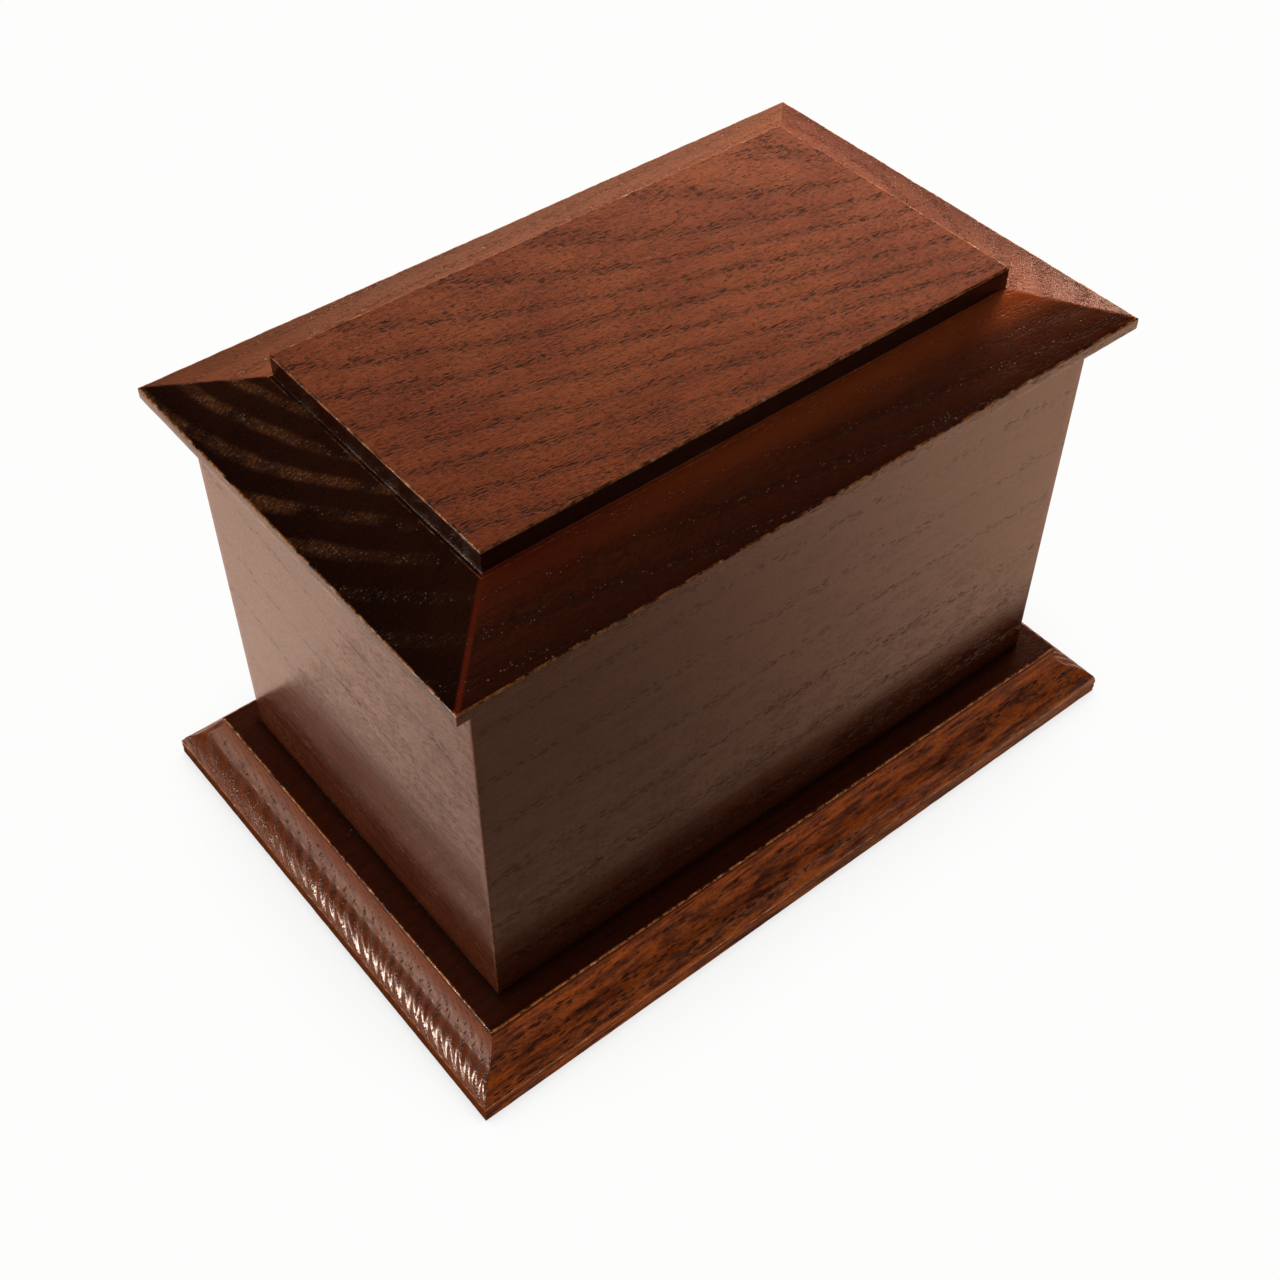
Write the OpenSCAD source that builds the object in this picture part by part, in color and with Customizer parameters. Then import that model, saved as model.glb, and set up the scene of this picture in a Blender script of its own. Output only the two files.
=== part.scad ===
// Wooden casket for cremation ashes: a moulded base board, four mitred wall boards and a
// raised-field lid that lifts off. Millimetres, +Z up, origin on the floor under the middle.

/* [Overall] */
// Length of the lid, from outer edge to outer edge
lid_len = 272; // [200:1:420]
// Width of the lid, from outer edge to outer edge
lid_wid = 173; // [130:1:300]
// Height of the whole casket, from the floor to the top of the lid
casket_h = 199; // [140:1:320]

/* [Walls] */
// Thickness of the four wall boards
wall_t = 12; // [8:0.5:20]

/* [Lid] */
// How far the lid stands out past the walls
lid_overhang = 10; // [3:0.5:18]
// Height of the lid's thin upright edge
lid_edge_h = 4.5; // [2:0.5:12]
// Width of the sloping margin around the raised field
slope_wid = 31.5; // [15:0.5:45]
// How far the margin rises from the edge to the foot of the raised field
slope_rise = 8.5; // [3:0.5:16]
// Height of the upright step around the raised field
field_step_h = 8; // [3:0.5:14]
// Depth of the tongue under the lid that keeps it in place
tongue_h = 5; // [3:0.5:12]
// Clearance between the tongue and the walls on each side
tongue_gap = 0.8; // [0.3:0.1:2]

/* [Base] */
// Thickness of the base board
base_t = 23.5; // [20:0.5:40]
// Width of the flat shelf between the walls and the moulded edge
shelf_wid = 10.5; // [4:0.5:20]
// Width of the moulded edge, beyond the shelf
mould_wid = 13.5; // [11:0.5:20]
// Height of the small upright step at the top of the moulding
mould_step_h = 2.5; // [1:0.5:4]
// How far the moulding's hollow runs outwards
hollow_wid = 6.5; // [5:0.5:8]
// How far the moulding's hollow drops
hollow_drop = 8.5; // [7:0.5:9]
// How far the moulding's round drops, below the hollow
round_drop = 5.5; // [4:0.5:7.5]

/* [Hidden] */

// Steps in each curve of the moulding
curve_steps = 8;

box_len = lid_len - 2 * lid_overhang;
box_wid = lid_wid - 2 * lid_overhang;
lid_t = lid_edge_h + slope_rise + field_step_h;
wall_h = casket_h - base_t - lid_t;
rim_z = base_t + wall_h;
base_len = box_len + 2 * (shelf_wid + mould_wid);
base_wid = box_wid + 2 * (shelf_wid + mould_wid);
tongue_inset = wall_t + tongue_gap;

// The moulding in section, x outwards from the shelf's edge and y up from the floor: an
// upright step, a hollow that starts upright, and a round that leaves the hollow smoothly.
// What the three leave of the board's thickness is its upright lower edge.
hollow_top = [0, base_t - mould_step_h];
hollow_end = hollow_top + [hollow_wid, -hollow_drop];
round_end = [mould_wid, hollow_end.y - round_drop];
hollow_r = (hollow_wid ^ 2 + hollow_drop ^ 2) / (2 * hollow_wid);
hollow_centre = hollow_top + [hollow_r, 0];
turn_dir = (hollow_end - hollow_centre) / hollow_r;
round_span = round_end - hollow_end;
round_r = (round_span * round_span) / (2 * (turn_dir * round_span));
round_centre = hollow_end + round_r * turn_dir;

function bearing(from, to) = atan2(to.y - from.y, to.x - from.x);

// Points on the short arc around centre, from one point to another
function arc_points(centre, from, to) =
    let (
        start = bearing(centre, from),
        sweep = bearing(centre, to) - start,
        turn = sweep > 180 ? sweep - 360 : sweep < -180 ? sweep + 360 : sweep
    )
    [
        for (i = [0:curve_steps])
            let (angle = start + turn * i / curve_steps)
            centre + norm(from - centre) * [cos(angle), sin(angle)]
    ];

hollow_points = arc_points(hollow_centre, hollow_top, hollow_end);
round_points = arc_points(round_centre, hollow_end, round_end);
mould_points = concat(hollow_points, [for (i = [1:curve_steps]) round_points[i]]);

// The outline of a board's cross-section that is the same on both sides. The points run down
// one side, with x measured from the board's outer edge inwards.
module section(wid, side_points) {
    right = [for (p = side_points) [wid / 2 - p.x, p.y]];
    left = [for (i = [len(right) - 1:-1:0]) [-right[i].x, right[i].y]];
    polygon(concat(right, left));
}

// A board with one edge profile on all four sides, mitred where the sides meet
module profiled_board(length, width, side_points) {
    intersection() {
        rotate([90, 0, 90]) linear_extrude(height = length, center = true) section(width, side_points);
        rotate([90, 0, 0]) linear_extrude(height = width, center = true) section(length, side_points);
    }
}

// One wall board along X, its outer face at y = 0 and its inner face at y = wall_t
module wall_board(length) {
    linear_extrude(height = wall_h)
        polygon([
            [-length / 2, 0],
            [length / 2, 0],
            [length / 2 - wall_t, wall_t],
            [-length / 2 + wall_t, wall_t]
        ]);
}

// A wall board stood on the base, turned to the side that it closes
module place_wall(turn, length, distance) {
    rotate([0, 0, turn]) translate([0, -distance / 2, base_t]) wall_board(length);
}

module base() {
    edge = concat(
        [[mould_wid, base_t]],
        [for (p = mould_points) [mould_wid - p.x, p.y]],
        [[0, 0]]
    );
    color([0.36, 0.15, 0.09]) profiled_board(base_len, base_wid, edge);
}

module front_wall() {
    color([0.33, 0.19, 0.15]) place_wall(0, box_len, box_wid);
}

module back_wall() {
    color([0.33, 0.19, 0.15]) place_wall(180, box_len, box_wid);
}

module left_wall() {
    color([0.45, 0.27, 0.22]) place_wall(-90, box_wid, box_len);
}

module right_wall() {
    color([0.45, 0.27, 0.22]) place_wall(90, box_wid, box_len);
}

module lid() {
    edge = [
        [slope_wid, lid_t],
        [slope_wid, lid_edge_h + slope_rise],
        [0, lid_edge_h],
        [0, 0]
    ];
    tongue_len = box_len - 2 * tongue_inset;
    tongue_wid = box_wid - 2 * tongue_inset;
    color([0.40, 0.17, 0.11]) translate([0, 0, rim_z]) {
        profiled_board(lid_len, lid_wid, edge);
        translate([-tongue_len / 2, -tongue_wid / 2, -tongue_h])
            cube([tongue_len, tongue_wid, tongue_h + lid_edge_h]);
    }
}

base();
front_wall();
back_wall();
left_wall();
right_wall();
lid();
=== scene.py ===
import math

import bmesh
import bpy
from mathutils import Matrix, Quaternion, Vector, noise


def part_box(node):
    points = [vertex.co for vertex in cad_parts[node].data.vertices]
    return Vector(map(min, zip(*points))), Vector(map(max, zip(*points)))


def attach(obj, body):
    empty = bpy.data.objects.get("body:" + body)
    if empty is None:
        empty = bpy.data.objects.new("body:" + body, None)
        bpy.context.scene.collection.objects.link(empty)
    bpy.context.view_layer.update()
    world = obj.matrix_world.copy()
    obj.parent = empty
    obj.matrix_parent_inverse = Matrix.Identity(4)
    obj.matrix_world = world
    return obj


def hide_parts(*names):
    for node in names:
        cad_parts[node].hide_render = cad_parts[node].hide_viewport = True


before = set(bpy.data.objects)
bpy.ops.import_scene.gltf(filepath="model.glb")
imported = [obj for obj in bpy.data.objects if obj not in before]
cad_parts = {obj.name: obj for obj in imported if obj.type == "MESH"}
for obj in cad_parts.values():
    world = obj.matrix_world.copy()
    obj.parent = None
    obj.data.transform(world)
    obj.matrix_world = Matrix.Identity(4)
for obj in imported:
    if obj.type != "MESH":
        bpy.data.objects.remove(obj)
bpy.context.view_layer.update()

# ---------------------------------------------------------------- sizes, in metres

MM = 0.001

# Camera
CAMERA_AZIMUTH = -39.3
CAMERA_ELEVATION = 47.24
CAMERA_ROLL = 0.31
CAMERA_DISTANCE = 0.6296
CAMERA_AIM = Vector((-0.0151, -0.0143, 0.0693))
CAMERA_LENS = 49.33

# Lid: a raised field, an upright step, a sloping margin and a thin upright edge
SLOPE_WIDTH = 31.5 * MM
SLOPE_RISE = 8.5 * MM
FIELD_STEP = 8.0 * MM
LID_EDGE = 4.5 * MM
LID_SOFTENING = 0.55 * MM
TONGUE_CLEARANCE = 0.8 * MM

# Base board: a small step, a hollow and a round under the shelf that shows round the walls
MOULDING_WIDTH = 13.5 * MM
MOULDING_STEP = 2.5 * MM
HOLLOW_WIDTH = 6.5 * MM
HOLLOW_DROP = 8.5 * MM
ROUND_DROP = 5.5 * MM
BASE_SOFTENING = 0.5 * MM

WALL_SOFTENING = 0.5 * MM

# Mesh: how finely each board is cut
LID_CELL = 1.0 * MM
BASE_CELL = 0.9 * MM
BASE_LONG_CELL = 1.3 * MM
BASE_SHORT_CELL = 0.6 * MM
WALL_CELL = 3.0 * MM
ARC_STEPS = 12
SHARPEST_SMOOTH_ANGLE = math.radians(32)

# Wear and relief
MITRE_WEAR = 0.3
WEAR_DEPTH = 0.16 * MM
FIELD_RELIEF = 0.035 * MM
SLOPE_RELIEF = 0.09 * MM
LONG_GRAIN_RELIEF = 0.02 * MM
END_GRAIN_RELIEF = 0.34 * MM

# Growth rings, in millimetres
LID_HEART_Y = 63.7
LID_HEART_SKEW = 0.178
LID_HEART_HEIGHT = 630.4
LID_HEART_SLOPE = 0.025
LID_HEART_BOW = 0.00004
LID_FIRST_RING = 430
LID_RING_SPREAD = 0.13
BASE_HEART_Y = 150
BASE_HEART_SKEW = 0.02
BASE_HEART_DEPTH = 378
BASE_RING_SPACING = 2.5
LONG_WALL_RING_SPACING = 24.0
SHORT_WALL_RING_SPACING = 30.0

# Pores, as their length along the grain and their width across it, in millimetres
LARGE_PORE = (4.2, 0.95)
SMALL_PORE = (2.6, 0.62)
SQUIGGLE = (6, 0.9)
TOOTH = (1.7, 0.6)

# Landmarks of the boards, in millimetres
LID_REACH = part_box("lid")[1] / MM
LID_TOP_HEIGHT = LID_REACH.z
LID_SHOULDER_HEIGHT = LID_TOP_HEIGHT - FIELD_STEP / MM
LID_ARRIS_HEIGHT = LID_SHOULDER_HEIGHT - SLOPE_RISE / MM
FIELD_HALF_LENGTH = LID_REACH.x - SLOPE_WIDTH / MM
FIELD_HALF_WIDTH = LID_REACH.y - SLOPE_WIDTH / MM

BASE_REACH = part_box("base")[1] / MM
SHELF_HEIGHT = BASE_REACH.z
HOLLOW_FOOT_HEIGHT = SHELF_HEIGHT - (MOULDING_STEP + HOLLOW_DROP) / MM
SHELF_HALF_LENGTH = BASE_REACH.x - MOULDING_WIDTH / MM
SHELF_HALF_WIDTH = BASE_REACH.y - MOULDING_WIDTH / MM

# ---------------------------------------------------------------- growth rings


def root(value):
    return value ** 0.5


def log(value):
    return value.log() if isinstance(value, Wire) else math.log(value)


def lid_rings(x, y, z):
    """Count of growth rings at a place in the lid. Its heart lies above, and far rings stand wider apart."""
    across = y - LID_HEART_Y + LID_HEART_SKEW * x
    above = LID_HEART_HEIGHT - LID_HEART_SLOPE * x + LID_HEART_BOW * x * x - z
    distance = root(across * across + above * above)
    return log(1 + LID_RING_SPREAD * (distance - LID_FIRST_RING)) / LID_RING_SPREAD


def base_rings(x, y, z):
    """Count of growth rings at a place in the base board, whose heart lies below it and behind."""
    across = y - BASE_HEART_Y + BASE_HEART_SKEW * x
    below = z + BASE_HEART_DEPTH
    return root(across * across + below * below) / BASE_RING_SPACING


# ---------------------------------------------------------------- mesh building


class Corner:
    """One corner of a board's section, as how far out it is and how high.

    It is rounded by its softening, and the straight before it is cut into cells unless it is plain.
    """

    def __init__(self, out, height, softening=0.0, wear=0.0, shade=0.0, plain=False):
        self.place = Vector((out, height))
        self.plain = plain
        self.softening = softening
        self.wear = wear
        self.shade = shade


def swung(start, end, share):
    """A spoke part of the way round an arc from one spoke to another."""
    return start.slerp(end, share).normalized() * start.length


def softened(before, corner, after, steps=3):
    """Rings that round one corner of a section."""
    if corner.softening == 0.0:
        return [corner]
    to_before = (before.place - corner.place).normalized()
    to_after = (after.place - corner.place).normalized()
    half_angle = to_before.angle(to_after) / 2
    reach = corner.softening / math.tan(half_angle)
    centre = corner.place + (to_before + to_after).normalized() * corner.softening / math.sin(half_angle)
    start = corner.place + to_before * reach - centre
    end = corner.place + to_after * reach - centre
    rings = []
    for step in range(steps + 1):
        spot = centre + swung(start, end, step / steps)
        rings.append(Corner(spot.x, spot.y, 0.0, corner.wear, corner.shade))
    return rings


def section_rings(corners, cell):
    """Every ring of a section: its corners rounded, and its straights cut into cells."""
    turned = [corners[0]]
    for before, corner, after in zip(corners, corners[1:], corners[2:]):
        turned += softened(before, corner, after)
    turned.append(corners[-1])
    rings = [turned[0]]
    for last, ring in zip(turned, turned[1:]):
        reach = (ring.place - last.place).length
        cuts = 1 if ring.plain else max(1, math.ceil(reach / cell - 0.01))
        for cut in range(1, cuts + 1):
            share = cut / cuts
            spot = last.place.lerp(ring.place, share)
            wear = ring.wear if cut == cuts else 0.0
            shade = last.shade + (ring.shade - last.shade) * share
            rings.append(Corner(spot.x, spot.y, 0.0, wear, shade))
    return rings


def arc_corners(centre, start, end, steps):
    """Section points along an arc from start to end, without its first."""
    first = start - centre
    last = end - centre
    spots = [centre + swung(first, last, step / steps) for step in range(1, steps + 1)]
    return [Corner(spot.x, spot.y) for spot in spots]


def grow(bm, rim):
    """Extrudes a rim of edges, and hands back the new verts and the new rim."""
    grown = bmesh.ops.extrude_edge_only(bm, edges=rim)["geom"]
    verts = [item for item in grown if isinstance(item, bmesh.types.BMVert)]
    edges = [item for item in grown if isinstance(item, bmesh.types.BMEdge)]
    return verts, edges


def sweep_section(bm, rim, half_x, half_y, rings):
    """Draws a rim outwards and down through a section's rings. The mitres fall on the diagonals."""
    wear = bm.verts.layers.float["worn_arris"]
    shade = bm.verts.layers.float["painted_shade"]
    last = rings[0]
    for ring in rings[1:]:
        verts, rim = grow(bm, rim)
        scale_x = (half_x + ring.place.x) / (half_x + last.place.x)
        scale_y = (half_y + ring.place.x) / (half_y + last.place.x)
        bmesh.ops.scale(bm, vec=(scale_x, scale_y, 1), verts=verts)
        bmesh.ops.translate(bm, vec=(0, 0, ring.place.y - last.place.y), verts=verts)
        for vert in verts:
            on_mitre = abs((abs(vert.co.x) - half_x) - (abs(vert.co.y) - half_y)) < 0.01 * MM
            vert[wear] = max(ring.wear, MITRE_WEAR) if on_mitre else ring.wear
            vert[shade] = ring.shade
        last = ring
    return rim


def new_board():
    bm = bmesh.new()
    bm.verts.layers.float.new("worn_arris")
    bm.verts.layers.float.new("painted_shade")
    return bm


def wear_arrises(bm):
    """Takes a little more off the worn arrises, here and there."""
    wear = bm.verts.layers.float["worn_arris"]
    bm.normal_update()
    for vert in bm.verts:
        if vert[wear] > 0:
            dent = noise.noise(vert.co * 180) + 0.6 * noise.noise(vert.co * 520)
            vert.co -= vert.normal * WEAR_DEPTH * vert[wear] * max(0.0, 0.35 + dent)


def raise_grain(bm, height):
    """Moves the surface by the height, in metres, that a function gives for a place in millimetres."""
    bm.normal_update()
    moves = [(vert, vert.normal * height(*(vert.co / MM))) for vert in bm.verts]
    for vert, move in moves:
        vert.co += move


def finish_board(bm, name, node, finish):
    """Turns a bmesh into a finished piece that stands for a CAD node."""
    bmesh.ops.recalc_face_normals(bm, faces=bm.faces)
    for face in bm.faces:
        face.smooth = True
    for edge in bm.edges:
        edge.smooth = edge.calc_face_angle(0) < SHARPEST_SMOOTH_ANGLE
    mesh = bpy.data.meshes.new(name)
    bm.to_mesh(mesh)
    bm.free()
    mesh.materials.append(finish)
    board = bpy.data.objects.new(name, mesh)
    bpy.context.scene.collection.objects.link(board)
    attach(board, "root")
    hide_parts(node)
    return board


def lid_relief(x, y, z):
    """Soft early wood stands a little lower than hard late wood, most of all on the slopes."""
    if z < LID_ARRIS_HEIGHT - 1.5:
        return 0.0
    wobble = 0.35 * noise.noise(Vector((x, y, z)) / 28)
    phase = (lid_rings(x, y, z) + wobble) % 1.0
    early = max(0.0, 1.0 - abs(phase - 0.5) / 0.28)
    on_slope = min(1.0, max(0.0, (LID_SHOULDER_HEIGHT + 5 - z) / 4))
    rough = noise.noise(Vector((x * 0.35, y * 0.9, z))) * early
    return -(FIELD_RELIEF + SLOPE_RELIEF * on_slope) * early * (0.7 + 0.6 * rough)


def make_lid(finish):
    low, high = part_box("lid")
    half_x = high.x
    half_y = high.y
    field_x = half_x - SLOPE_WIDTH
    field_y = half_y - SLOPE_WIDTH
    top = high.z
    shoulder = top - FIELD_STEP
    arris = shoulder - SLOPE_RISE
    underside = arris - LID_EDGE
    tongue_side = -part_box("left_wall")[1].x - TONGUE_CLEARANCE
    # The fifth number of each corner is painted shade: on the step and in its corner, under the lid, and on
    # the slopes and edge, darker towards the arris
    section = [
        Corner(-LID_SOFTENING, top),
        Corner(0, top, LID_SOFTENING, 1.0),
        Corner(0, top - 1.2 * MM, 0.0, 0.0, 0.8),
        Corner(0, shoulder, 0.5 * MM, 0.0, 1.0),
        Corner(1.2 * MM, shoulder - 0.04 * SLOPE_RISE, 0.0, 0.9, 0.1),
        Corner(SLOPE_WIDTH, arris, LID_SOFTENING, 1.0, 0.95),
        Corner(SLOPE_WIDTH, underside, LID_SOFTENING, 0.6),
        Corner(tongue_side - field_x, underside, 0.0, 0.0, 1.0, plain=True),
        Corner(tongue_side - field_x, low.z, 0.0, 0.0, 0.5, plain=True),
    ]
    bm = new_board()
    start = section[0]
    rings = section_rings(section, LID_CELL)
    cells_x = round(2 * field_x / LID_CELL)
    cells_y = round(2 * field_y / LID_CELL)
    bmesh.ops.create_grid(bm, x_segments=cells_x, y_segments=cells_y, size=1)
    bmesh.ops.scale(bm, vec=(field_x + start.place.x, field_y + start.place.x, 1), verts=bm.verts)
    bmesh.ops.translate(bm, vec=(0, 0, top), verts=bm.verts)
    rim = [edge for edge in bm.edges if edge.is_boundary]
    rim = sweep_section(bm, rim, field_x, field_y, rings)
    bmesh.ops.contextual_create(bm, geom=rim)
    bmesh.ops.recalc_face_normals(bm, faces=bm.faces)
    wear_arrises(bm)
    raise_grain(bm, lid_relief)
    return finish_board(bm, "lid_board", "lid", finish)


def base_relief(x, y, z):
    """End grain of the round stands in ribs, and they fade on the long sides."""
    if z < 1:
        return 0.0
    wobble = 0.5 * noise.noise(Vector((x, y, z)) / 16)
    ribs = 0.5 + 0.5 * math.cos(2 * math.pi * (base_rings(x, y, z) + wobble))
    end_grain = 0.0
    if abs(x) > SHELF_HALF_LENGTH + 0.5:
        end_grain = 1.0 if z < HOLLOW_FOOT_HEIGHT + 0.5 else 0.2
    lively = 0.75 + 0.5 * noise.noise(Vector((x, y, z)) / 9)
    return -(LONG_GRAIN_RELIEF + END_GRAIN_RELIEF * end_grain) * ribs * lively


def make_base(finish):
    low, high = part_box("base")
    half_x = high.x - MOULDING_WIDTH
    half_y = high.y - MOULDING_WIDTH
    wall_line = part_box("right_wall")[1].x - half_x
    top = high.z
    hollow_top = Vector((0, top - MOULDING_STEP))
    hollow_foot = hollow_top + Vector((HOLLOW_WIDTH, -HOLLOW_DROP))
    hollow_radius = (HOLLOW_WIDTH ** 2 + HOLLOW_DROP ** 2) / (2 * HOLLOW_WIDTH)
    hollow_centre = hollow_top + Vector((hollow_radius, 0))
    round_end = Vector((MOULDING_WIDTH, hollow_foot.y - ROUND_DROP))
    leaving = (hollow_foot - hollow_centre) / hollow_radius
    chord = round_end - hollow_foot
    round_radius = chord.dot(chord) / (2 * leaving.dot(chord))
    round_centre = hollow_foot + leaving * round_radius
    # Painted shade on the shelf beside the walls: the first corners carry it, fading out 4 mm from the wall
    corners = [
        Corner(wall_line - 6 * MM, top, 0.0, 0.0, 1.0),
        Corner(wall_line, top, 0.0, 0.0, 1.0, plain=True),
        Corner(wall_line + 4 * MM, top),
        Corner(0, top, BASE_SOFTENING, 1.0),
        Corner(hollow_top.x, hollow_top.y, 0.0, 0.85),
    ]
    corners += arc_corners(hollow_centre, hollow_top, hollow_foot, ARC_STEPS)
    corners += arc_corners(round_centre, hollow_foot, round_end, ARC_STEPS)[:-1]
    corners += [
        Corner(MOULDING_WIDTH, round_end.y, BASE_SOFTENING, 1.0),
        Corner(MOULDING_WIDTH, low.z, BASE_SOFTENING, 0.5),
        Corner(-10 * MM, low.z, plain=True),
    ]
    rings = section_rings(corners, BASE_CELL)
    bm = new_board()
    start_x = half_x + corners[0].place.x
    start_y = half_y + corners[0].place.x
    bmesh.ops.create_circle(bm, segments=4, radius=math.sqrt(2))
    bmesh.ops.rotate(bm, matrix=Matrix.Rotation(math.pi / 4, 3, "Z"), verts=bm.verts)
    bmesh.ops.scale(bm, vec=(start_x, start_y, 1), verts=bm.verts)
    bmesh.ops.translate(bm, vec=(0, 0, top), verts=bm.verts)
    long_edges = [edge for edge in bm.edges if abs(edge.verts[0].co.y - edge.verts[1].co.y) < MM]
    short_edges = [edge for edge in bm.edges if abs(edge.verts[0].co.x - edge.verts[1].co.x) < MM]
    bmesh.ops.subdivide_edges(bm, edges=long_edges, cuts=round(2 * half_x / BASE_LONG_CELL))
    bmesh.ops.subdivide_edges(bm, edges=short_edges, cuts=round(2 * half_y / BASE_SHORT_CELL))
    rim = list(bm.edges)
    end = sweep_section(bm, rim, half_x, half_y, rings)
    bmesh.ops.contextual_create(bm, geom=rim)
    bmesh.ops.contextual_create(bm, geom=end)
    bmesh.ops.recalc_face_normals(bm, faces=bm.faces)
    wear_arrises(bm)
    raise_grain(bm, base_relief)
    return finish_board(bm, "moulded_base", "base", finish)


def make_wall(name, node, turn, finish):
    """One mitred wall board, made facing the front and then turned to its side."""
    low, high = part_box(node)
    spun = Matrix.Rotation(-turn, 3, "Z")
    corner_a = spun @ low
    corner_b = spun @ high
    half_length = max(corner_a.x, corner_b.x)
    face = min(corner_a.y, corner_b.y)
    thickness = abs(corner_a.y - corner_b.y)
    height = high.z - low.z
    bm = new_board()
    wear = bm.verts.layers.float["worn_arris"]
    shade = bm.verts.layers.float["painted_shade"]
    half_flat = half_length - WALL_SOFTENING
    bmesh.ops.create_grid(
        bm,
        x_segments=round(2 * half_flat / WALL_CELL),
        y_segments=round(height / WALL_CELL),
        size=1,
    )
    bmesh.ops.scale(bm, vec=(half_flat, height / 2, 1), verts=bm.verts)
    bmesh.ops.rotate(bm, matrix=Matrix.Rotation(math.pi / 2, 3, "X"), verts=bm.verts)
    bmesh.ops.translate(bm, vec=(0, face, low.z + height / 2), verts=bm.verts)
    rim = [edge for edge in bm.edges if edge.is_boundary]
    steps = []
    for step in range(1, 4):
        angle = math.radians(45) * step / 3
        half = half_flat + WALL_SOFTENING * math.sin(angle)
        deep = WALL_SOFTENING * (1 - math.cos(angle))
        steps.append((half, deep))
    steps.append((half_length - thickness, thickness))
    last_half = half_flat
    last_deep = 0.0
    for half, deep in steps:
        verts, rim = grow(bm, rim)
        bmesh.ops.scale(bm, vec=(half / last_half, 1, 1), verts=verts)
        bmesh.ops.translate(bm, vec=(0, deep - last_deep, 0), verts=verts)
        for vert in verts:
            vert[wear] = 1.0 if deep < thickness and abs(vert.co.x) > half_flat else 0.0
        last_half = half
        last_deep = deep
    bmesh.ops.contextual_create(bm, geom=rim)
    # Painted shade: the wall darkens over its lowest 4 mm, down to the shelf
    for vert in bm.verts:
        from_foot = (vert.co.z - low.z) / (4 * MM)
        vert[shade] = max(0.0, 1.0 - from_foot)
    bmesh.ops.rotate(bm, matrix=Matrix.Rotation(turn, 3, "Z"), verts=bm.verts)
    bmesh.ops.recalc_face_normals(bm, faces=bm.faces)
    return finish_board(bm, name, node, finish)


# ---------------------------------------------------------------- shader arithmetic


class Wire:
    """A socket of a material's node tree that can be used in plain arithmetic."""

    def __init__(self, tree, socket):
        self.tree = tree
        self.socket = socket

    def node(self, kind, settings, sockets, output=0):
        return add_node(self.tree, kind, settings, sockets, output)

    def maths(self, operation, *values):
        sockets = dict(enumerate(values))
        return self.node("ShaderNodeMath", {"operation": operation}, sockets)

    def __add__(self, other):
        return self.maths("ADD", self, other)

    def __sub__(self, other):
        return self.maths("SUBTRACT", self, other)

    def __mul__(self, other):
        return self.maths("MULTIPLY", self, other)

    def __truediv__(self, other):
        return self.maths("DIVIDE", self, other)

    def __pow__(self, other):
        return self.maths("POWER", self, other)

    def __mod__(self, other):
        return self.maths("FLOORED_MODULO", self, other)

    def __rsub__(self, other):
        return self.maths("SUBTRACT", other, self)

    def __abs__(self):
        return self.maths("ABSOLUTE", self)

    __radd__ = __add__
    __rmul__ = __mul__

    def log(self):
        return self.maths("LOGARITHM", self, math.e)

    def clamped(self):
        return self.node("ShaderNodeClamp", {}, {"Value": self})

    def rise(self, start, end):
        """0 below start, 1 above end, and a smooth rise between; start may be the larger."""
        low, high = min(start, end), max(start, end)
        sockets = {"Value": self, "From Min": low, "From Max": high}
        step = self.node("ShaderNodeMapRange", {"interpolation_type": "SMOOTHSTEP"}, sockets)
        return step if start < end else 1 - step


def add_node(tree, kind, settings, sockets, output=0):
    """Adds a node, sets it up, feeds its sockets, and hands back one output as a Wire."""
    node = tree.nodes.new(kind)
    for name, setting in settings.items():
        setattr(node, name, setting)
    for key, value in sockets.items():
        socket = node.inputs[key]
        if isinstance(value, Wire):
            tree.links.new(value.socket, socket)
        else:
            socket.default_value = value
    return Wire(tree, node.outputs[output])


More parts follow.
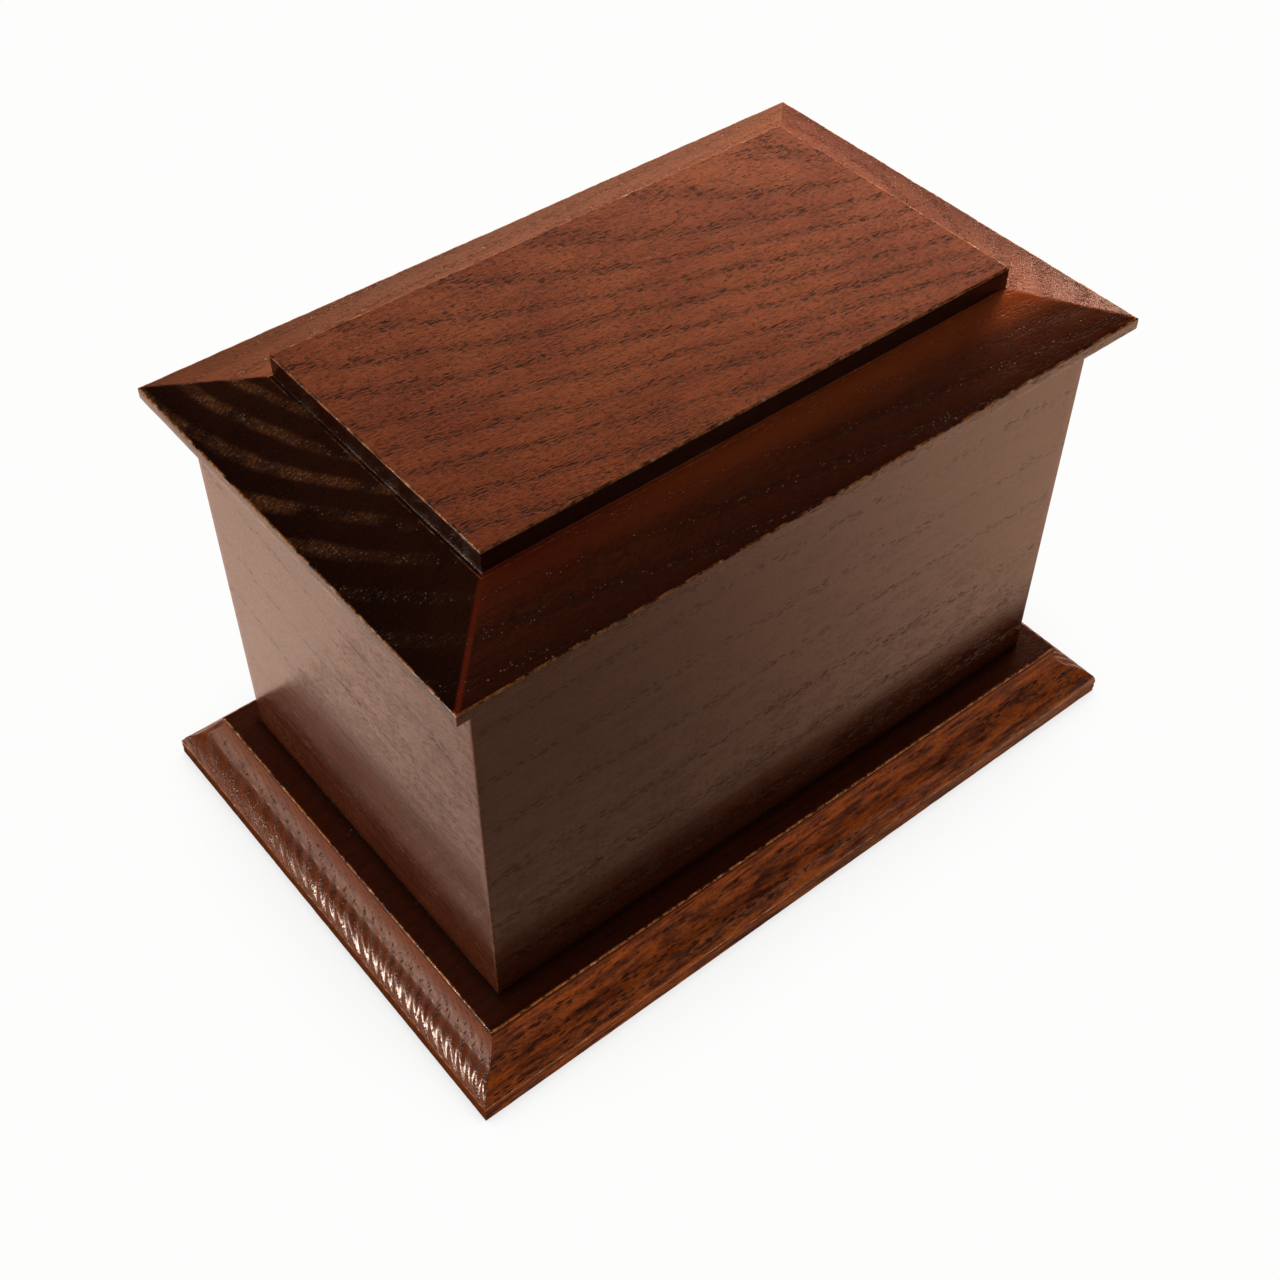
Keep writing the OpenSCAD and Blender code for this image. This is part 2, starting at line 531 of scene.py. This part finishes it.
class Finish:
    """A material under construction, with the few textures that the wood is made of."""

    def __init__(self, name, **constants):
        self.material = bpy.data.materials.new(name)
        self.material.use_nodes = True
        self.tree = self.material.node_tree
        self.shader = self.tree.nodes["Principled BSDF"]
        for key, value in constants.items():
            self.shader.inputs[key.replace("_", " ")].default_value = value
        sockets = {0: self.add("ShaderNodeTexCoord", {}, {}, "Object"), "Scale": 1 / MM}
        self.place_mm = self.add("ShaderNodeVectorMath", {"operation": "SCALE"}, sockets)
        self.x = self.add("ShaderNodeSeparateXYZ", {}, {0: self.place_mm}, 0)
        self.y = self.add("ShaderNodeSeparateXYZ", {}, {0: self.place_mm}, 1)
        self.z = self.add("ShaderNodeSeparateXYZ", {}, {0: self.place_mm}, 2)

    def add(self, kind, settings, sockets, output=0):
        return add_node(self.tree, kind, settings, sockets, output)

    def attribute(self, name):
        return self.add("ShaderNodeAttribute", {"attribute_name": name}, {}, "Fac")

    def stretched(self, cell):
        """Object coordinates counted in cells of a given size in millimetres along each axis."""
        sockets = {0: self.place_mm, 1: [1 / size for size in cell]}
        return self.add("ShaderNodeVectorMath", {"operation": "MULTIPLY"}, sockets)

    def noise(self, cell, detail=2.0, roughness=0.5):
        sockets = {"Vector": self.stretched(cell), "Scale": 1.0, "Detail": detail, "Roughness": roughness}
        return self.add("ShaderNodeTexNoise", {}, sockets, "Fac")

    def pores(self, cell):
        """Distance from the nearest pore and that pore's own random number."""
        sockets = {"Vector": self.stretched(cell), "Scale": 1.0}
        distance = self.add("ShaderNodeTexVoronoi", {}, sockets, "Distance")
        colour = self.add("ShaderNodeTexVoronoi", {}, sockets, "Color")
        random = self.add("ShaderNodeSeparateColor", {}, {0: colour}, 0)
        return distance, random

    def mix(self, amount, first, second):
        sockets = {0: amount, 6: first, 7: second}
        return self.add("ShaderNodeMix", {"data_type": "RGBA"}, sockets, 2)

    def feed(self, name, wire):
        self.tree.links.new(wire.socket, self.shader.inputs[name])

    def feed_bump(self, height, distance, strength=1.0):
        sockets = {"Height": height, "Distance": distance, "Strength": strength}
        self.feed("Normal", self.add("ShaderNodeBump", {}, sockets))


# ---------------------------------------------------------------- finishes

# Stains, and the wood where it shows through them
PAINTED_SHADE_BLACK = (0.010, 0.0035, 0.0015, 1)
STAIN_AND_SHADE_DEEP = (0.050, 0.0080, 0.0022, 1)
STAIN_RED = (0.245, 0.053, 0.020, 1)
STAIN_WARM = (0.310, 0.076, 0.026, 1)
STAIN_AND_LIGHT_ORANGE = (0.70, 0.155, 0.022, 1)
PAINTED_GLOW_RED = (0.50, 0.050, 0.008, 1)
PAINTED_LIGHT_PALE = (0.62, 0.230, 0.100, 1)
PORE_DARK = (0.022, 0.0055, 0.003, 1)
EARLY_BROWN = (0.60, 0.20, 0.060, 1)
WORN_WOOD = (0.85, 0.27, 0.055, 1)
WORN_PALE_AND_GLINT = (1.0, 0.70, 0.42, 1)


class StainedWood(Finish):
    """Open-grained wood under mahogany stain and lacquer, before its piece's own touches."""

    def __init__(self, name, grain_axis, ring_count, ring_wobble, row_width):
        super().__init__(name, IOR=1.5, Specular_Tint=(1.0, 0.85, 0.75, 1))
        self.grain_axis = grain_axis
        wobble = self.noise(self.cells(90, 24)) - 0.5
        rings = ring_count(self.x, self.y, self.z) + wobble * ring_wobble
        self.early = 1 - abs(rings % 1.0 - 0.5).rise(row_width * 0.3, row_width)
        self.colour = None
        self.sheen = 0.16
        self.height = 0.0

    def cells(self, along, across):
        return [along if axis == self.grain_axis else across for axis in "xyz"]

    def tint(self, amount, colour):
        self.colour = self.mix(amount, self.colour, colour)

    def lay_stain(self, blotch_cell, streak):
        """The stain itself: soft blotches, and streaks along the grain."""
        blotches = self.noise([blotch_cell] * 3, 3.0)
        streaks = self.noise(self.cells(60, 1.8), 3.0)
        self.colour = self.mix(blotches.rise(0.32, 0.70), STAIN_RED, STAIN_WARM)
        self.tint(streaks.rise(0.42, 0.75) * streak, STAIN_AND_SHADE_DEEP)
        self.height = self.height + streaks * 0.3

    def open_pores(self, large, small, speckle, tooth_depth):
        """Dark pores: large ones in rows along the early wood, small ones, squiggles and a fine tooth."""
        distance, random = self.pores(self.cells(*LARGE_PORE))
        gaps = self.noise(self.cells(16, 5), 2.0)
        rows = (random * 0.8 + self.early * 0.6 + gaps * 0.7).rise(1.12, 1.30)
        large_pores = distance.rise(0.46, 0.26) * rows
        distance, random = self.pores(self.cells(*SMALL_PORE))
        small_pores = distance.rise(0.44, 0.22) * (random + self.early * 0.3).rise(0.50, 0.80)
        tooth = self.noise(self.cells(*TOOTH), 4.0, 0.7)
        self.tint(self.early * 0.25 * large, STAIN_AND_SHADE_DEEP)
        self.tint(tooth.rise(0.46, 0.66) * speckle, STAIN_AND_SHADE_DEEP)
        squiggles = abs(self.noise(self.cells(*SQUIGGLE), 2.0) - 0.5).rise(0.035, 0.008)
        squiggles = squiggles * self.noise(self.cells(12, 5), 2.0).rise(0.44, 0.56)
        self.tint(squiggles * small * 0.55, PORE_DARK)
        self.tint(small_pores * small, PORE_DARK)
        self.tint(large_pores * large, PORE_DARK)
        self.sheen = self.sheen + large_pores * 0.25 * large + small_pores * 0.15 * small + tooth * 0.08
        self.height = self.height - large_pores * large - small_pores * 0.5 * small
        self.height = self.height - squiggles * 0.4 * small - tooth * tooth_depth
        return tooth

    def wear(self, break_cell, strength):
        """Stain worn through along the arrises, in broken orange and pale lines."""
        breaks = self.noise([break_cell] * 3, 3.0, 0.7)
        worn = self.attribute("worn_arris").rise(0.65, 1.0) * strength
        self.tint(worn * breaks.rise(0.40, 0.56), WORN_WOOD)
        self.tint(worn * breaks.rise(0.58, 0.68), WORN_PALE_AND_GLINT)

    def done(self, bump_depth):
        self.feed("Base Color", self.colour)
        self.feed("Roughness", self.sheen)
        self.feed_bump(self.height, bump_depth)
        return self.material


def lid_finish():
    wood = StainedWood("lid_stained_wood", "x", lid_rings, 0.5, 0.26)
    wood.lay_stain(34, 0.25)
    tooth = wood.open_pores(0.85, 0.85, 0.65, 0.9)

    # Where a place lies on the lid
    on_slope = wood.z.rise(LID_SHOULDER_HEIGHT + 0.6, LID_SHOULDER_HEIGHT - 0.1)
    past_end = abs(wood.x) - FIELD_HALF_LENGTH
    past_side = abs(wood.y) - FIELD_HALF_WIDTH
    end_grain = on_slope * (past_end - past_side).rise(-0.4, 0.4)
    left_end = end_grain * wood.x.rise(0, -10)
    front_left = wood.x.rise(0, -10) * wood.y.rise(0, -10)
    above_shoulder = wood.z.rise(LID_SHOULDER_HEIGHT, LID_SHOULDER_HEIGHT + 0.5)
    step_face = above_shoulder * wood.z.rise(LID_TOP_HEIGHT - 0.3, LID_TOP_HEIGHT - 0.7)

    # Painted shade on the step, in its corner, under the lid, and on the slopes growing towards their edge;
    # a painted glow below the step on the front slope; and a painted paler back slope, where the light falls
    wood.tint(wood.attribute("painted_shade") * 0.95, STAIN_AND_SHADE_DEEP)
    painted_glow = on_slope * (1 - end_grain) * past_side.rise(16, 0) * wood.y.rise(0, -10)
    wood.tint(painted_glow * 0.62, PAINTED_GLOW_RED)
    wood.tint(painted_glow * wood.x.rise(-100, 0) * 0.45, STAIN_AND_LIGHT_ORANGE)
    back_side = on_slope * (1 - end_grain) * wood.y.rise(0, 10)
    wood.tint(back_side * 0.13, PAINTED_LIGHT_PALE)

    # The left slope's end grain: painted nearly black as the shade that falls on it, with brown bands of
    # early wood
    speckle = tooth.rise(0.50, 0.62)
    wood.tint(left_end * 0.66, PAINTED_SHADE_BLACK)
    band = wood.early * (wood.y.rise(-50, 5) * 0.88 + 0.12) * wood.noise([22, 16, 9]).rise(0.34, 0.62)
    wood.tint(left_end * band * (speckle * 0.70 + 0.16), EARLY_BROWN)

    # Painted glints as pale dots on the slopes, and a reddish line down the front left mitre
    distance, random = wood.pores([0.9, 0.7, 0.7])
    painted_glints = distance.rise(0.34, 0.18) * (random + wood.early * 0.25).rise(1.05, 1.12)
    wood.tint(on_slope * wood.early * wood.x.rise(130, 100) * painted_glints * 0.6, WORN_PALE_AND_GLINT)
    mitre = abs(past_end - past_side).rise(1.8, 0.3)
    wood.tint(on_slope * mitre * front_left * 0.6, PAINTED_GLOW_RED)

    # The step is painted dark as shade, and smooth, and the left slope smoother than the rest
    wood.tint(step_face * 0.5, PAINTED_SHADE_BLACK)
    wood.sheen = wood.sheen * (1 - step_face) + step_face * 0.12
    wood.height = wood.height * (1 - step_face - left_end * 0.7)
    wood.wear(3.5, 0.9)
    return wood.done(0.14 * MM)


def base_finish():
    wood = StainedWood("base_stained_wood", "x", base_rings, 0.8, 0.30)
    wood.lay_stain(12, 0.3)
    moulding = wood.z.rise(SHELF_HEIGHT - 1.3, SHELF_HEIGHT - 3.0)
    hollow = moulding * wood.z.rise(HOLLOW_FOOT_HEIGHT - 1, HOLLOW_FOOT_HEIGHT + 1)
    past_end = abs(wood.x) - SHELF_HALF_LENGTH
    past_side = abs(wood.y) - SHELF_HALF_WIDTH
    on_end = (past_end - past_side).rise(-0.4, 0.4)

    # The long mouldings carry an orange and dark figure, its orange partly painted light; the end mouldings
    # a plain orange, partly painted light too; and the shelf dark
    long_moulding = moulding * (1 - on_end)
    figure = wood.noise(wood.cells(15, 2.3), 4.0, 0.62)
    wood.tint(long_moulding * figure.rise(0.42, 0.60) * 0.85, STAIN_AND_LIGHT_ORANGE)
    wood.tint(long_moulding * figure.rise(0.45, 0.34) * 0.75, STAIN_AND_SHADE_DEEP)
    wood.tint(moulding * on_end * 0.25, STAIN_AND_LIGHT_ORANGE)
    wood.tint((1 - moulding) * 0.78, STAIN_AND_SHADE_DEEP)
    wood.open_pores(0.85, 0.5, 0.45, 0.15)
    # Painted shade on the shelf where the walls stand on it
    wood.tint(wood.attribute("painted_shade") * 0.8, PAINTED_SHADE_BLACK)
    wood.sheen = wood.sheen + hollow * 0.35
    wood.wear(3, 0.9)
    return wood.done(0.14 * MM)


def wall_finish(name, grain_axis, ring_count, row_width):
    wood = StainedWood(name, grain_axis, ring_count, 0.5, row_width)
    wood.lay_stain(30, 0.45)
    wood.open_pores(0.9, 0.5, 0.6, 0.10)
    wood.sheen = wood.sheen - 0.07
    # Painted shade at the foot of the wall
    wood.tint(wood.attribute("painted_shade") * 0.7, PAINTED_SHADE_BLACK)
    wood.wear(6, 0.25)
    return wood.done(0.085 * MM)


def wall_rings_long(x, y, z):
    """Nearly level rings in the long walls."""
    return (z + 0.02 * x + 0.3 * y) / LONG_WALL_RING_SPACING


def wall_rings_short(x, y, z):
    """Rings in the short walls that drop towards the front."""
    return (z - 0.17 * y + 0.3 * x) / SHORT_WALL_RING_SPACING


# ---------------------------------------------------------------- the casket

long_finish = wall_finish("long_wall_stained_wood", "x", wall_rings_long, 0.12)
short_finish = wall_finish("short_wall_stained_wood", "y", wall_rings_short, 0.07)

base_piece = make_base(base_finish())
make_wall("front_board", "front_wall", 0.0, long_finish)
make_wall("right_board", "right_wall", math.radians(90), short_finish)
make_wall("back_board", "back_wall", math.radians(180), long_finish)
make_wall("left_board", "left_wall", math.radians(270), short_finish)
lid_piece = make_lid(lid_finish())

# ---------------------------------------------------------------- studio

FLOOR_HALF = 3.0
CARD_HALF = 0.9
CARD_DROP = 0.5 * MM
SHADOW_REACH = 0.08
PAPER_WHITE = (0.985, 0.982, 0.978, 1)
PAPER_SHADE = (0.55, 0.54, 0.53, 1)
STUDIO_WHITE = (0.98, 0.98, 0.975, 1)
STUDIO_DARK = (0.008, 0.008, 0.008, 1)
WARM_LIGHT = (1.0, 0.66, 0.50, 1)
PALE_CARD = (1.0, 0.70, 0.55, 1)
WARM_CARD = (1.0, 0.60, 0.41, 1)
SOFT_LIGHT = (1.0, 0.93, 0.86, 1)
LIGHT_AIM = Vector((0, 0, 0.12))


def staged_plane(name, half_x, half_y, centre, material):
    bm = bmesh.new()
    bmesh.ops.create_grid(bm, x_segments=1, y_segments=1, size=1)
    bmesh.ops.scale(bm, vec=(half_x, half_y, 1), verts=bm.verts)
    bmesh.ops.translate(bm, vec=centre, verts=bm.verts)
    mesh = bpy.data.meshes.new(name)
    bm.to_mesh(mesh)
    bm.free()
    mesh.materials.append(material)
    plane = bpy.data.objects.new(name, mesh)
    bpy.context.scene.collection.objects.link(plane)
    return plane


def floor_seen():
    """The pale floor as the camera sees it, with a faint shadow near the base."""
    paper = Finish("white_paper")
    closeness = paper.add("ShaderNodeAmbientOcclusion", {"samples": 8}, {"Distance": SHADOW_REACH}, "AO")
    white = paper.mix(closeness.rise(0.0, 0.9), PAPER_SHADE, PAPER_WHITE)
    glow = paper.add("ShaderNodeEmission", {}, {"Color": white, "Strength": 1.0})
    output = paper.tree.nodes["Material Output"]
    paper.tree.links.new(glow.socket, output.inputs["Surface"])
    floor = staged_plane("floor", FLOOR_HALF, FLOOR_HALF, (0, 0, 0), paper.material)
    floor.visible_diffuse = False
    floor.visible_glossy = False
    floor.visible_shadow = False


def floor_felt():
    """The floor as the wood mirrors it: brightest behind on the left and out to the right."""
    paper = Finish("floor_light")
    past_left = paper.x.rise(-BASE_REACH.x - 3, -BASE_REACH.x - 10)
    past_back = paper.y.rise(BASE_REACH.y + 1.5, BASE_REACH.y + 7.5)
    past_front = paper.y.rise(-BASE_REACH.y + 2.5, -BASE_REACH.y - 9.5)
    past_right = paper.x.rise(BASE_REACH.x + 8, BASE_REACH.x + 20)
    left_part = (past_left + past_back).clamped() * (paper.y.rise(0, 150) * 0.42 + 0.95)
    front_part = past_front * (paper.x.rise(-40, 300) * 1.3 + 0.45)
    right_part = past_right * paper.y.rise(-104, -96) * 0.8
    bright = left_part * paper.x.rise(150, -120) + front_part + right_part
    tone = paper.mix(paper.y.rise(-90, -98), PALE_CARD, WARM_CARD)
    glow = paper.add("ShaderNodeEmission", {}, {"Color": tone, "Strength": bright})
    output = paper.tree.nodes["Material Output"]
    paper.tree.links.new(glow.socket, output.inputs["Surface"])
    floor = staged_plane("floor_light", CARD_HALF, CARD_HALF, (0, 0, -CARD_DROP), paper.material)
    floor.visible_camera = False
    floor.visible_diffuse = False
    floor.visible_shadow = False


def soft_panel(name, place, size, brightness, colour, diffuse=True, glossy=True):
    """A soft rectangular light that faces the casket's middle."""
    light = bpy.data.lights.new(name, "AREA")
    light.shape = "RECTANGLE"
    light.size = size[0]
    light.size_y = size[1]
    light.color = colour[:3]
    light.energy = brightness * math.pi * size[0] * size[1]
    lamp = bpy.data.objects.new(name, light)
    lamp.location = place
    lamp.rotation_mode = "QUATERNION"
    lamp.rotation_quaternion = (LIGHT_AIM - lamp.location).to_track_quat("-Z", "Y")
    lamp.visible_camera = False
    lamp.visible_diffuse = diffuse
    lamp.visible_glossy = glossy
    bpy.context.scene.collection.objects.link(lamp)
    return lamp


def light_only(lamp, *pieces):
    """Keeps a lamp's light to some of the pieces, as a flag beside it would."""
    lit = bpy.data.collections.new(lamp.name + "_lit")
    for piece in pieces:
        lit.objects.link(piece)
    lamp.light_linking.receiver_collection = lit


def make_studio(lid, base):
    world = bpy.data.worlds.new("studio")
    world.use_nodes = True
    tree = world.node_tree
    seen = add_node(tree, "ShaderNodeLightPath", {}, {}, "Is Camera Ray")
    sockets = {0: seen, 6: STUDIO_DARK, 7: STUDIO_WHITE}
    sky = add_node(tree, "ShaderNodeMix", {"data_type": "RGBA"}, sockets, 2)
    tree.links.new(sky.socket, tree.nodes["Background"].inputs["Color"])
    bpy.context.scene.world = world
    bpy.context.scene.view_settings.view_transform = "Standard"
    floor_seen()
    floor_felt()
    key = soft_panel("low_key", (0.66, 0.34, 0.32), (0.35, 0.25), 74.0, SOFT_LIGHT, glossy=False)
    light_only(key, lid)
    rim = soft_panel("low_rim", (-0.45, -0.85, 0.16), (0.5, 0.2), 7.0, SOFT_LIGHT, glossy=False)
    light_only(rim, base)
    soft_panel("overhead", (0.1, 0.1, 1.4), (1.2, 1.2), 0.25, SOFT_LIGHT, glossy=False)
    soft_panel("left_fill", (-1.1, 0.1, 0.25), (0.8, 0.8), 1.5, SOFT_LIGHT, glossy=False)
    soft_panel("front_fill", (0.5, -1.2, 0.3), (0.8, 0.8), 0.45, SOFT_LIGHT, glossy=False)
    soft_panel("right_fill", (1.1, 0.3, 0.4), (0.9, 0.9), 3.0, SOFT_LIGHT, glossy=False)
    soft_panel("back_fill", (0.0, 1.2, 0.4), (0.9, 0.9), 2.0, SOFT_LIGHT, glossy=False)
    soft_panel("far_glow", (0.60, 0.68, 0.48), (0.9, 0.4), 1.05, WARM_LIGHT, diffuse=False)
    soft_panel("side_spark", (0.75, 0.20, 0.22), (0.15, 0.10), 8.0, WARM_LIGHT, diffuse=False)
    soft_panel("left_spark", (-0.84, 0.27, 0.42), (0.26, 0.22), 50.0, SOFT_LIGHT, diffuse=False)
    soft_panel("front_glow", (0.40, -0.70, 0.55), (0.3, 0.3), 0.6, SOFT_LIGHT, diffuse=False)


def make_camera():
    camera = bpy.data.cameras.new("camera")
    camera.lens = CAMERA_LENS
    camera.clip_start = 0.01
    holder = bpy.data.objects.new("camera", camera)
    azimuth = math.radians(CAMERA_AZIMUTH)
    elevation = math.radians(CAMERA_ELEVATION)
    back = Vector((
        math.sin(azimuth) * math.cos(elevation),
        -math.cos(azimuth) * math.cos(elevation),
        math.sin(elevation),
    ))
    holder.location = CAMERA_AIM + back * CAMERA_DISTANCE
    holder.rotation_mode = "QUATERNION"
    roll = Quaternion((0, 0, 1), math.radians(CAMERA_ROLL))
    holder.rotation_quaternion = (-back).to_track_quat("-Z", "Y") @ roll
    bpy.context.scene.collection.objects.link(holder)
    bpy.context.scene.camera = holder


make_studio(lid_piece, base_piece)
make_camera()
